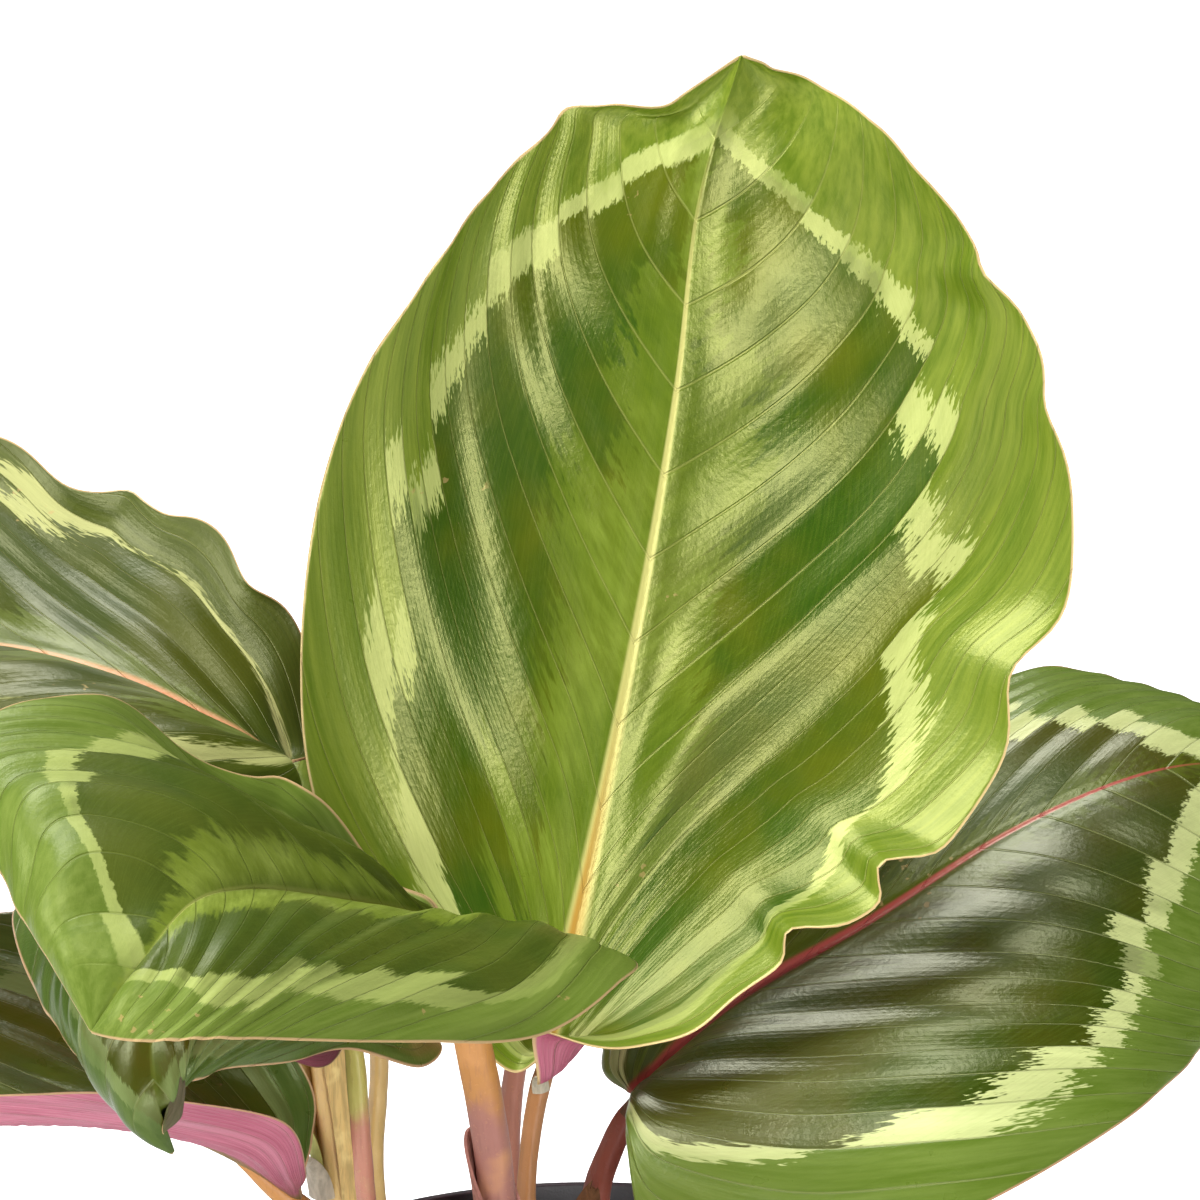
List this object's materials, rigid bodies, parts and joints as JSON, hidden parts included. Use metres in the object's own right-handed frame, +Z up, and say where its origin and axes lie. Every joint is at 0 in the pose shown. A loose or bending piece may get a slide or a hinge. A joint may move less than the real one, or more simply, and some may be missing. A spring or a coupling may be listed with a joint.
{
  "type": "potted calathea",
  "caption": "House plant with broad round medallion-patterned leaves on slender pink and yellow stalks, standing in the soil of a plain nursery pot.",
  "frame": {"origin": "middle of the pot's underside, on the surface the plant stands on", "axes": "+Z up along the pot's axis; the big centre leaf's upper face looks along -Y"},
  "size_m": [0.2463, 0.2575, 0.274],
  "materials": {
    "pot_plastic": "satin",
    "soil": "matte",
    "leaf_green": "satin",
    "leaf_dark": "satin",
    "stalk_pink": "satin",
    "stalk_yellow": "satin",
    "stalk_orange": "satin"
  },
  "bodies": {
    "root": {"pot": "pot_plastic", "soil": "soil", "blade_centre": "leaf_green", "stalk_centre": "stalk_orange", "blade_right": "leaf_dark", "stalk_right": "stalk_pink", "blade_left_back": "leaf_green", "stalk_left_back": "stalk_yellow", "blade_front": "leaf_green", "stalk_front": "stalk_pink", "blade_low_front": "leaf_dark", "stalk_low_front": "stalk_pink", "blade_low_left": "leaf_dark", "stalk_low_left": "stalk_orange", "blade_back": "leaf_dark", "stalk_back": "stalk_pink", "blade_back_left": "leaf_dark", "stalk_back_left": "stalk_yellow"}
  },
  "joints": []
}
